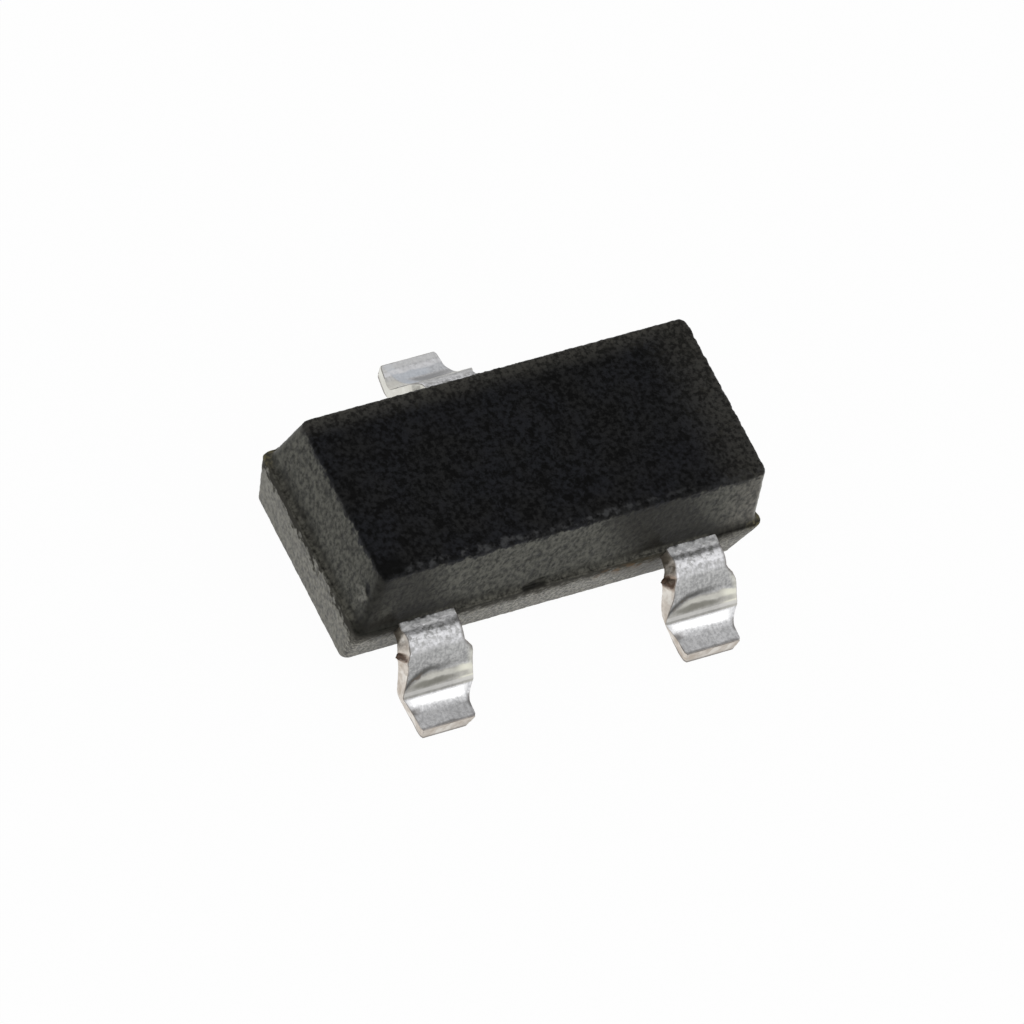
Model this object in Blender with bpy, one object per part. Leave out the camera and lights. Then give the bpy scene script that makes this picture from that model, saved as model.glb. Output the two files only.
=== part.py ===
"""Voltage supervisor in a three-lead gull-wing package, in metres, +Z up.

The feet stand on z = 0 and the body's length runs along X.
Leads 1 and 2 leave the body at -Y, lead 3 leaves it at +Y and carries the chip.
"""
import math

import bmesh
import bpy
from mathutils import Vector

# Moulded body, measured on the parting plane unless said otherwise
BODY_LENGTH = 0.0029
BODY_WIDTH = 0.00138
BODY_TOP = 0.00097
PARTING_HEIGHT = 0.00049
STANDOFF = 0.00007
END_LEDGE = 0.000035
SIDE_LEDGE = 0.00003
UPPER_END_TAPER = 0.000045
UPPER_SIDE_TAPER = 0.00007
LOWER_END_TAPER = 0.00005
LOWER_SIDE_TAPER = 0.00007
CORNER_RADIUS = 0.00005
TOP_EDGE_RADIUS = 0.000025
BOTTOM_EDGE_RADIUS = 0.00004
LEDGE_EDGE_RADIUS = 0.000012

# Lead strip and how it is bent
LEAD_THICKNESS = 0.00011
LEAD_PITCH = 0.0019
LEAD_SPAN = 0.00246
NECK_WIDTH = 0.000385
DAMBAR_WIDTH = 0.000463
FLANK_WIDTH = 0.00049
HEEL_WIDTH = 0.000415
FOOT_WIDTH = 0.0004
STRIP_EDGE = 0.00001
TIP_CORNER = 0.00003
SHOULDER_LENGTH = 0.000062
UPPER_BEND_RADIUS = 0.000075
LOWER_BEND_RADIUS = 0.000115
BEND_ANGLE = math.radians(64.0)
# Share of the upper bend where the dambar stub starts and where it is full
DAMBAR_START = 0.62
DAMBAR_FULL = 0.92

# Lead frame inside the body
FINGER_WIDTH = 0.00045
FINGER_DEPTH = 0.00062
PADDLE_WIDTH = 0.0012
PADDLE_LENGTH = 0.0009
PADDLE_COVER = 0.00025
INNER_FLARE = 0.00006
INNER_CORNER = 0.00004

# Chip and the bed that holds it
DIE_LENGTH = 0.0008
DIE_WIDTH = 0.0006
DIE_THICKNESS = 0.00018
DIE_EDGE_TO_PADDLE_EDGE = 0.00006
ATTACH_THICKNESS = 0.00002
ATTACH_MARGIN = 0.00003
PAD_TO_DIE_EDGE = 0.00009

# Bond wires
WIRE_RADIUS = 0.0000125
BALL_RADIUS = 0.00003
BALL_HEIGHT = 0.00002
LOOP_HEIGHT = 0.00013
STITCH_LENGTH = 0.00005
STITCH_HALF_WIDTH = 0.000028
STITCH_HALF_HEIGHT = 0.000005
STITCH_TO_FINGER_END = 0.00016
STITCH_TO_DIE_EDGE = 0.00026

# Clearances between pieces that touch in the real package
SEAT_GAP = 0.000003
MOULD_GAP = 0.000003

# Facets
CORNER_STEPS = 6
EDGE_STEPS = 4
BEND_STEPS = 12
WIRE_SIDES = 10
WIRE_STEPS = 18

LEAD_TOP = PARTING_HEIGHT
LEAD_AXIS = PARTING_HEIGHT - LEAD_THICKNESS / 2
BODY_SIDE = BODY_WIDTH / 2


def make_material(name, colour, metallic, roughness):
    """Return a Principled material."""
    material = bpy.data.materials.new(name)
    material.use_nodes = True
    shader = material.node_tree.nodes["Principled BSDF"]
    shader.inputs["Base Color"].default_value = (*colour, 1.0)
    shader.inputs["Metallic"].default_value = metallic
    shader.inputs["Roughness"].default_value = roughness
    material.diffuse_color = (*colour, 1.0)
    return material


def rounded_rectangle(length, width, radius, height):
    """Return the points of a rounded rectangle round the Z axis, counter-clockwise."""
    points = []
    corners = ((1, 1, 0.0), (-1, 1, 0.5), (-1, -1, 1.0), (1, -1, 1.5))
    for sign_x, sign_y, start in corners:
        centre_x = sign_x * (length / 2 - radius)
        centre_y = sign_y * (width / 2 - radius)
        for step in range(CORNER_STEPS + 1):
            angle = math.pi * (start + 0.5 * step / CORNER_STEPS)
            points.append(Vector((centre_x + radius * math.cos(angle),
                                  centre_y + radius * math.sin(angle), height)))
    return points


def loft(name, loops, material, is_cutter=False):
    """Join closed loops of equal length into one capped solid."""
    mesh = bpy.data.meshes.new(name)
    builder = bmesh.new()
    rows = [[builder.verts.new(point) for point in loop] for loop in loops]
    count = len(rows[0])
    for lower, upper in zip(rows, rows[1:]):
        for index in range(count):
            following = (index + 1) % count
            builder.faces.new((lower[index], lower[following], upper[following], upper[index]))
    builder.faces.new(list(reversed(rows[0])))
    builder.faces.new(rows[-1])
    bmesh.ops.recalc_face_normals(builder, faces=builder.faces)
    builder.to_mesh(mesh)
    builder.free()
    solid = bpy.data.objects.new(name, mesh)
    bpy.context.scene.collection.objects.link(solid)
    if is_cutter:
        solid.hide_render = True
        solid.display_type = "WIRE"
    else:
        mesh.materials.append(material)
    return solid


def body_loops():
    """Return the loops of the moulding from its underside to its top."""
    loops = []
    bottom_length = BODY_LENGTH - 2 * LOWER_END_TAPER
    bottom_width = BODY_WIDTH - 2 * LOWER_SIDE_TAPER
    for step in range(EDGE_STEPS + 1):
        angle = 0.5 * math.pi * step / EDGE_STEPS
        inset = BOTTOM_EDGE_RADIUS * (1 - math.sin(angle))
        height = STANDOFF + BOTTOM_EDGE_RADIUS * (1 - math.cos(angle))
        loops.append(rounded_rectangle(bottom_length - 2 * inset, bottom_width - 2 * inset,
                                       CORNER_RADIUS, height))
    loops.append(rounded_rectangle(BODY_LENGTH, BODY_WIDTH, CORNER_RADIUS,
                                   PARTING_HEIGHT - LEDGE_EDGE_RADIUS))
    loops.append(rounded_rectangle(BODY_LENGTH - LEDGE_EDGE_RADIUS,
                                   BODY_WIDTH - LEDGE_EDGE_RADIUS, CORNER_RADIUS,
                                   PARTING_HEIGHT))
    foot_length = BODY_LENGTH - 2 * END_LEDGE
    foot_width = BODY_WIDTH - 2 * SIDE_LEDGE
    loops.append(rounded_rectangle(foot_length, foot_width, CORNER_RADIUS, PARTING_HEIGHT))
    top_length = foot_length - 2 * UPPER_END_TAPER
    top_width = foot_width - 2 * UPPER_SIDE_TAPER
    for step in range(EDGE_STEPS + 1):
        angle = 0.5 * math.pi * step / EDGE_STEPS
        inset = TOP_EDGE_RADIUS * (1 - math.cos(angle))
        height = BODY_TOP - TOP_EDGE_RADIUS * (1 - math.sin(angle))
        loops.append(rounded_rectangle(top_length - 2 * inset, top_width - 2 * inset,
                                       CORNER_RADIUS, height))
    return loops


def bent_length(radius):
    """Return the length of the strip's middle line round one bend."""
    return BEND_ANGLE * (radius + LEAD_THICKNESS / 2)


# Middle line of a lead, as distances out from the body's centre plane and along the strip
CREASE = BODY_SIDE + SHOULDER_LENGTH
BEND_DROP = 1 - math.cos(BEND_ANGLE)
BEND_RADII = UPPER_BEND_RADIUS + LOWER_BEND_RADIUS + LEAD_THICKNESS
FLANK_LENGTH = (LEAD_AXIS - LEAD_THICKNESS / 2 - BEND_RADII * BEND_DROP) / math.sin(BEND_ANGLE)
FLANK_START = CREASE + bent_length(UPPER_BEND_RADIUS)
FLANK_END = FLANK_START + FLANK_LENGTH
FOOT_START = FLANK_END + bent_length(LOWER_BEND_RADIUS)
HEEL = CREASE + BEND_RADII * math.sin(BEND_ANGLE) + FLANK_LENGTH * math.cos(BEND_ANGLE)
FOOT_LENGTH = LEAD_SPAN / 2 - HEEL
STRIP_END = FOOT_START + FOOT_LENGTH


def strip_point(distance):
    """Return how far out, how high and how steep the strip's middle line is."""
    upper = UPPER_BEND_RADIUS + LEAD_THICKNESS / 2
    lower = LOWER_BEND_RADIUS + LEAD_THICKNESS / 2
    if distance <= CREASE:
        return distance, LEAD_AXIS, 0.0
    if distance <= FLANK_START:
        angle = (distance - CREASE) / upper
        return CREASE + upper * math.sin(angle), LEAD_AXIS - upper * (1 - math.cos(angle)), angle
    if distance <= FLANK_END:
        run = distance - FLANK_START
        out = CREASE + upper * math.sin(BEND_ANGLE) + run * math.cos(BEND_ANGLE)
        return out, LEAD_AXIS - upper * BEND_DROP - run * math.sin(BEND_ANGLE), BEND_ANGLE
    floor_height = LEAD_THICKNESS / 2
    if distance <= FOOT_START:
        angle = BEND_ANGLE - (distance - FLANK_END) / lower
        return HEEL - lower * math.sin(angle), floor_height + lower * (1 - math.cos(angle)), angle
    return HEEL + distance - FOOT_START, floor_height, 0.0


def half_width_at(outline, distance):
    """Return the strip's half width from its flat outline."""
    for (start, first), (end, second) in zip(outline, outline[1:]):
        if start <= distance <= end:
            share = (distance - start) / (end - start)
            return first + (second - first) * share
    return outline[-1][1]


def quarter_round(start, half_width, radius, towards_end):
    """Return outline points that round the two corners of a strip's end."""
    points = []
    for step in range(EDGE_STEPS + 1):
        angle = 0.5 * math.pi * step / EDGE_STEPS
        along = radius * math.sin(angle)
        across = half_width - radius * (1 - math.cos(angle))
        points.append((start + along if towards_end else start - along, across))
    return points if towards_end else list(reversed(points))


def outer_outline():
    """Return the flat outline of a lead from the body's wall to its tip."""
    upper_bend = FLANK_START - CREASE
    points = [(CREASE, NECK_WIDTH / 2),
              (CREASE + DAMBAR_START * upper_bend, NECK_WIDTH / 2),
              (CREASE + DAMBAR_FULL * upper_bend, DAMBAR_WIDTH / 2),
              (FLANK_END, FLANK_WIDTH / 2),
              (FOOT_START, HEEL_WIDTH / 2)]
    return points + quarter_round(STRIP_END - TIP_CORNER, FOOT_WIDTH / 2, TIP_CORNER, True)


def finger_outline():
    """Return the flat outline of lead 1 or 2 inside the body."""
    inner_end = BODY_SIDE - FINGER_DEPTH
    neck_end = BODY_SIDE - INNER_FLARE
    rounded = quarter_round(inner_end + INNER_CORNER, FINGER_WIDTH / 2, INNER_CORNER, False)
    return rounded + [(neck_end - INNER_FLARE, FINGER_WIDTH / 2), (neck_end, NECK_WIDTH / 2)]


def paddle_outline():
    """Return the flat outline of lead 3 inside the body, with the chip paddle."""
    shoulder = BODY_SIDE - PADDLE_COVER
    inner_end = shoulder - PADDLE_LENGTH
    rounded = quarter_round(inner_end + INNER_CORNER, PADDLE_WIDTH / 2, INNER_CORNER, False)
    outer_corner = quarter_round(shoulder - INNER_CORNER, PADDLE_WIDTH / 2, INNER_CORNER, True)
    return rounded + outer_corner + [(shoulder + INNER_FLARE, NECK_WIDTH / 2)]


def strip_section(centre_x, half_width, distance, side, grow):
    """Return the eight points of the strip's section at one distance along it."""
    out, height, angle = strip_point(distance)
    half_width += grow
    half_height = LEAD_THICKNESS / 2 + grow
    flat = ((-1, -1, 1, 0), (1, -1, -1, 0), (1, -1, 0, 1), (1, 1, 0, -1),
            (1, 1, -1, 0), (-1, 1, 1, 0), (-1, 1, 0, -1), (-1, -1, 0, 1))
    points = []
    for sign_x, sign_z, cut_x, cut_z in flat:
        across = sign_x * half_width + cut_x * STRIP_EDGE
        normal = sign_z * half_height + cut_z * STRIP_EDGE
        points.append(Vector((centre_x + across,
                              side * (out + normal * math.sin(angle)),
                              height + normal * math.cos(angle))))
    return points


def make_lead(name, centre_x, side, inner, material):
    """Make one stamped and bent lead from its flat outline."""
    outline = inner + outer_outline()
    distances = {distance for distance, _ in outline}
    for step in range(BEND_STEPS + 1):
        share = step / BEND_STEPS
        distances.add(CREASE + share * (FLANK_START - CREASE))
        distances.add(FLANK_END + share * (FOOT_START - FLANK_END))
    loops = []
    previous = None
    for distance in sorted(distances):
        if previous is None or distance - previous > SEAT_GAP / 2:
            half_width = half_width_at(outline, distance)
            loops.append(strip_section(centre_x, half_width, distance, side, 0.0))
            previous = distance
    return loft(name, loops, material)


def make_lead_cutter(name, centre_x, side, inner):
    """Make the slot that a lead's inner end leaves in the moulding."""
    outline = [(inner[0][0] - MOULD_GAP, inner[0][1])] + inner[1:]
    outline.append((BODY_SIDE + SHOULDER_LENGTH / 2, NECK_WIDTH / 2))
    loops = [strip_section(centre_x, half_width, distance, side, MOULD_GAP)
             for distance, half_width in outline]
    return loft(name, loops, None, is_cutter=True)


def block_loops(length, width, radius, bottom, top, centre_y):
    """Return the two loops of a block with rounded upright corners."""
    offset = Vector((0.0, centre_y, 0.0))
    return [[point + offset for point in rounded_rectangle(length, width, radius, height)]
            for height in (bottom, top)]


def wire_stations(reach, drop):
    """Return along, height, half width and half height of a bond wire's sections.

    Heights count from the chip's bond pad, and drop is how far the stitch lies below it.
    """
    stations = [(0.0, 0.0, BALL_RADIUS * 0.8, BALL_RADIUS * 0.8),
                (0.0, BALL_HEIGHT * 0.25, BALL_RADIUS, BALL_RADIUS),
                (0.0, BALL_HEIGHT * 0.65, BALL_RADIUS, BALL_RADIUS),
                (0.0, BALL_HEIGHT, BALL_RADIUS * 0.65, BALL_RADIUS * 0.65)]
    landing = -drop + STITCH_HALF_HEIGHT
    neck = BALL_HEIGHT * 1.5
    end = reach - STITCH_LENGTH
    end_height = landing + WIRE_RADIUS
    slope = 0.45 * end
    handles = ((0.0, neck), (0.0, LOOP_HEIGHT * 1.45),
               (end - slope, end_height + slope * 0.62 + drop * 0.35), (end, end_height))
    for step in range(WIRE_STEPS + 1):
        share = step / WIRE_STEPS
        rest = 1 - share
        weights = (rest ** 3, 3 * rest ** 2 * share, 3 * rest * share ** 2, share ** 3)
        along = sum(weight * handle[0] for weight, handle in zip(weights, handles))
        height = sum(weight * handle[1] for weight, handle in zip(weights, handles))
        stations.append((along, height, WIRE_RADIUS, WIRE_RADIUS))
    stations.append((reach - STITCH_LENGTH * 0.45, landing + STITCH_HALF_HEIGHT,
                     STITCH_HALF_WIDTH, STITCH_HALF_HEIGHT * 1.6))
    stations.append((reach, landing, STITCH_HALF_WIDTH * 0.8, STITCH_HALF_HEIGHT))
    return stations


def wire_loops(start, end, grow):
    """Return the sections of a wire between two points, each standing across its line."""
    flat = Vector((end.x - start.x, end.y - start.y, 0.0))
    reach = flat.length
    along_axis = flat.normalized()
    side_axis = Vector((-along_axis.y, along_axis.x, 0.0))
    up_axis = Vector((0.0, 0.0, 1.0))
    stations = wire_stations(reach, start.z - end.z)
    centres = [start + along_axis * along + up_axis * height
               for along, height, _, _ in stations]
    loops = []
    last = len(centres) - 1
    for index, centre in enumerate(centres):
        if index == 0:
            tangent = up_axis
        elif index == last:
            tangent = along_axis
        else:
            tangent = (centres[index + 1] - centres[index - 1]).normalized()
        if index == 0:
            centre = centre - up_axis * grow
        if index == last:
            centre = centre + along_axis * grow
        normal_axis = side_axis.cross(tangent)
        half_width = stations[index][2] + grow
        half_height = stations[index][3] + grow
        loop = []
        for corner in range(WIRE_SIDES):
            angle = 2 * math.pi * (corner + 0.5) / WIRE_SIDES
            loop.append(centre + side_axis * (half_width * math.cos(angle))
                        + normal_axis * (half_height * math.sin(angle)))
        loops.append(loop)
    return loops


def cut(solid, cutter):
    """Subtract a cutter from a solid."""
    modifier = solid.modifiers.new(cutter.name, "BOOLEAN")
    modifier.operation = "DIFFERENCE"
    modifier.solver = "EXACT"
    modifier.object = cutter


def build():
    """Build every piece of the package."""
    for leftover in list(bpy.data.objects):
        bpy.data.objects.remove(leftover, do_unlink=True)

    compound = make_material("mould_compound", (0.022, 0.022, 0.024), 0.0, 0.72)
    plated = make_material("tin_plated_copper", (0.62, 0.62, 0.64), 1.0, 0.38)
    silicon = make_material("silicon", (0.16, 0.17, 0.2), 0.6, 0.25)
    epoxy = make_material("silver_filled_epoxy", (0.45, 0.45, 0.44), 0.3, 0.55)
    gold = make_material("gold_wire", (0.83, 0.6, 0.24), 1.0, 0.25)

    body = loft("moulded_body", body_loops(), compound)

    half_pitch = LEAD_PITCH / 2
    leads = (("lead_1", -half_pitch, -1, finger_outline()),
             ("lead_2", half_pitch, -1, finger_outline()),
             ("lead_3", 0.0, 1, paddle_outline()))
    cutters = []
    for name, centre_x, side, inner in leads:
        make_lead(name, centre_x, side, inner, plated)
        cutters.append(make_lead_cutter(name + "_slot", centre_x, side, inner))

    paddle_inner = BODY_SIDE - PADDLE_COVER - PADDLE_LENGTH
    die_centre = paddle_inner + DIE_EDGE_TO_PADDLE_EDGE + DIE_WIDTH / 2
    attach_bottom = LEAD_TOP + SEAT_GAP
    attach_top = attach_bottom + ATTACH_THICKNESS
    die_bottom = attach_top + SEAT_GAP
    die_top = die_bottom + DIE_THICKNESS
    blocks = (("die_attach", DIE_LENGTH + 2 * ATTACH_MARGIN, DIE_WIDTH + 2 * ATTACH_MARGIN,
               ATTACH_MARGIN * 2, attach_bottom, attach_top, epoxy),
              ("silicon_die", DIE_LENGTH, DIE_WIDTH, ATTACH_MARGIN / 3,
               die_bottom, die_top, silicon))
    for name, length, width, radius, bottom, top, material in blocks:
        loft(name, block_loops(length, width, radius, bottom, top, die_centre), material)
        pocket = block_loops(length + 2 * MOULD_GAP, width + 2 * MOULD_GAP,
                             radius + MOULD_GAP, bottom - MOULD_GAP, top + MOULD_GAP,
                             die_centre)
        cutters.append(loft(name + "_pocket", pocket, None, is_cutter=True))

    pad_height = die_top + SEAT_GAP
    stitch_height = LEAD_TOP + SEAT_GAP
    pad_x = DIE_LENGTH / 2 - PAD_TO_DIE_EDGE
    front_pad = die_centre - DIE_WIDTH / 2 + PAD_TO_DIE_EDGE
    back_pad = die_centre + DIE_WIDTH / 2 - PAD_TO_DIE_EDGE
    finger_stitch = FINGER_DEPTH - BODY_SIDE - STITCH_TO_FINGER_END
    paddle_stitch = die_centre + DIE_WIDTH / 2 + STITCH_TO_DIE_EDGE
    wires = (("bond_wire_1", (-pad_x, front_pad), (-half_pitch, finger_stitch)),
             ("bond_wire_2", (pad_x, front_pad), (half_pitch, finger_stitch)),
             ("bond_wire_3", (0.0, back_pad), (0.0, paddle_stitch)))
    for name, pad, stitch in wires:
        start = Vector((*pad, pad_height))
        end = Vector((*stitch, stitch_height))
        loft(name, wire_loops(start, end, 0.0), gold)
        cutters.append(loft(name + "_pocket", wire_loops(start, end, MOULD_GAP), None,
                            is_cutter=True))

    for cutter in cutters:
        cut(body, cutter)


build()
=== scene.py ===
"""Voltage supervisor in a three-lead gull-wing package, dressed for the camera, in metres."""

import math

import bmesh
import bpy
from mathutils import Matrix, Vector, noise


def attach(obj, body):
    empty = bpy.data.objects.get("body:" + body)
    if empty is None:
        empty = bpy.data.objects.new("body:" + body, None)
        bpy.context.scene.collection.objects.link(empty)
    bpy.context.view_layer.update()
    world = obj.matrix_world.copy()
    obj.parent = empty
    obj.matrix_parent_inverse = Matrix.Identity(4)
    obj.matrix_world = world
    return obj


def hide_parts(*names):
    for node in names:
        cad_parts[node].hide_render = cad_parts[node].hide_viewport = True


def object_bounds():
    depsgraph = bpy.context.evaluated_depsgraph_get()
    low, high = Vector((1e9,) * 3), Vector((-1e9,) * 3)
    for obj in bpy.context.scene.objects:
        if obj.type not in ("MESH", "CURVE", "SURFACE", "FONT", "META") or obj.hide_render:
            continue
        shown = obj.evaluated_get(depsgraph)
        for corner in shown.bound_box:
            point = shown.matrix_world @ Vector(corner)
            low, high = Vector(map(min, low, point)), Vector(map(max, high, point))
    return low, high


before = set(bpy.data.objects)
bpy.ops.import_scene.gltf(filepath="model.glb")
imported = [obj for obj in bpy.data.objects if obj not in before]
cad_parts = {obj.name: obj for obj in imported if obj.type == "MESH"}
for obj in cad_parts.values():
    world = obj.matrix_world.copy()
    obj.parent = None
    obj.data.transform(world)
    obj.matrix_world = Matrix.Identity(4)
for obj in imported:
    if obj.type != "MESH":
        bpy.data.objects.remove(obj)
cad_low, cad_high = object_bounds()

MM = 0.001
UM = 0.000001

# Moulded body, the same sizes as in the CAD source
BODY_LENGTH = 2.90 * MM
BODY_WIDTH = 1.38 * MM
BODY_TOP = 0.97 * MM
PARTING_HEIGHT = 0.49 * MM
STANDOFF = 0.07 * MM
END_LEDGE = 0.035 * MM
SIDE_LEDGE = 0.03 * MM
UPPER_END_TAPER = 0.045 * MM
UPPER_SIDE_TAPER = 0.07 * MM
LOWER_END_TAPER = 0.05 * MM
LOWER_SIDE_TAPER = 0.07 * MM
CORNER_RADIUS = 0.05 * MM
TOP_EDGE_RADIUS = 0.025 * MM
BOTTOM_EDGE_RADIUS = 0.04 * MM
LEDGE_EDGE_RADIUS = 0.012 * MM

# Lead strip, the same sizes as in the CAD source
LEAD_THICKNESS = 0.11 * MM
LEAD_PITCH = 1.90 * MM
LEAD_SPAN = 2.46 * MM
NECK_WIDTH = 0.385 * MM
DAMBAR_WIDTH = 0.463 * MM
FLANK_WIDTH = 0.49 * MM
HEEL_WIDTH = 0.415 * MM
FOOT_WIDTH = 0.40 * MM
TIP_CORNER = 0.03 * MM
SHOULDER_LENGTH = 0.062 * MM
UPPER_BEND_RADIUS = 0.075 * MM
LOWER_BEND_RADIUS = 0.115 * MM
BEND_ANGLE = math.radians(64.0)
DAMBAR_START = 0.62
DAMBAR_FULL = 0.92
FINGER_WIDTH = 0.45 * MM
FINGER_DEPTH = 0.62 * MM
PADDLE_WIDTH = 1.20 * MM
PADDLE_LENGTH = 0.90 * MM
PADDLE_COVER = 0.25 * MM
INNER_FLARE = 0.06 * MM
INNER_CORNER = 0.04 * MM

# Fineness of the dressed meshes
WALL_STEP = 0.012 * MM
STRIP_STEP = 0.008 * MM
STRIP_COLUMNS = 40
SIDE_ROWS = 8
ROUND_STEPS = 4
CORNER_STEPS = 6
BODY_CORNER_POINTS = 7
STRAY_REACH = 24
STRAY_STEP = 6
CLOSEST_STATIONS = 1.0 * UM
INSIDE_WALL = 0.03 * MM

# Inner loop of the flat top and underside, as shares of the outer loop
INNER_LENGTH = 0.9
INNER_WIDTH = 0.8

# Trim of the dressed skins: rounded edges, the seat of the leads, fillet and forming dent
EDGE_ROUND = 0.007 * MM
LEAD_SEAT = 0.008 * MM
SEAT_REACH = 0.03 * MM
WALL_FOOT_FILLET = 0.030 * MM
LEDGE_MARK = 0.03 * MM
COIN_START = -0.05 * MM
COIN_LENGTH = 0.20 * MM
COINED_DEPTH = 0.006 * MM
CREASE_DEPTH = 0.003 * MM
CREASE_WIDTH = 0.006 * MM

# Unevenness of the skins, in micrometres
BODY_WEAR = 2.6
FLASH_PUSH = 9
FLASH_LIFT = 6
BURR_HEIGHT = 9
NICK_DEPTH = 14
LEAD_WOBBLE = 1.2
CUT_WOBBLE = 1.5
STUB_WOBBLE = 3
LOWER_EDGE_MARGIN = 6

# Scuff and notch of the moulding, as lines between two points in millimetres
SCUFF_REACH = 0.028
NOTCH_REACH = 0.03
SCUFF = (((-1.395, -0.445, 0.690), (-1.390, -0.490, 0.737)),
         ((-1.390, -0.490, 0.737), (-1.392, -0.548, 0.717)),
         ((-1.392, -0.548, 0.717), (-1.399, -0.521, 0.650)))
NOTCH = ((-0.250, -0.675, 0.480), (-0.135, -0.675, 0.502))

# How far each lead's cut edges stray from the outline, in micrometres: distance past the crease,
# left and right edges of the upper face, and both edges of the lower face
CUT_EDGES = {
    "lead_1": ((-60, 12, 0, 10), (-20, 16, -2, 20), (12, -5, -4, 32), (50, 7, -8, 38),
               (92, 17, -11, 50), (127, -3, -1, 27), (160, -15, 8, 0), (210, -16, 4, -8),
               (290, -9, 8, -16), (370, 0, 14, -22), (410, -6, 12, -20), (450, -15, 6, -34),
               (500, -18, -1, -44), (545, -16, -4, -48), (608, -11, -3, -36), (676, -5, 1, -36)),
    "lead_2": ((-60, 6, -28, 10), (-20, 4, -32, 18), (12, -12, -34, 28), (50, 8, -30, 34),
               (92, 19, -38, 53), (127, -6, -42, 34), (160, -11, -16, 14), (210, -12, -4, 7),
               (290, 10, 0, 4), (370, 27, 9, -10), (410, 24, 8, -22), (450, 12, 2, -27),
               (500, 2, -4, -35), (545, 0, -7, -28), (608, 5, -5, -19), (676, 8, -1, -21)),
    "lead_3": ((-60, 20, -28, 10), (92, 20, -40, 20), (127, 20, -43, 20), (210, 20, -36, 10),
               (290, 21, -24, 7), (370, 22, -14, 4),
               (500, 25, -10, 5), (560, 28, -18, 14), (676, 22, -16, 10)),
}
# Dark stain on the sheared dambar stub of each lead: its reach along the strip in micrometres
# at the lower and at the upper edge of the cut face
STUB_STAINS = {"lead_1": (42, 20), "lead_2": (58, 50), "lead_3": (0, 0)}
STAIN_CENTRE = 0.116 * MM

# Camera, solved on the photograph's edges
VIEW_RIGHT = Vector((0.85587, -0.43130, 0.28543))
VIEW_UP = Vector((0.23816, 0.81855, 0.52274))
VIEW_BACK = Vector((-0.45910, -0.37942, 0.80329))
VIEW_CENTRE = Vector((0.0, 0.0, 0.5 * MM))
VIEW_DISTANCE = 74.6 * MM
VIEW_SIDESTEP = -0.012 * MM
VIEW_DROP = 0.153 * MM
PIXELS_PER_MM = 163.34
PICTURE_PIXELS = 1024
SENSOR_MM = 36.0

# White table
TABLE_REACH = 400 * MM
TABLE_DROP = 0.5 * UM
TABLE_WHITE = 0.97


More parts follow.
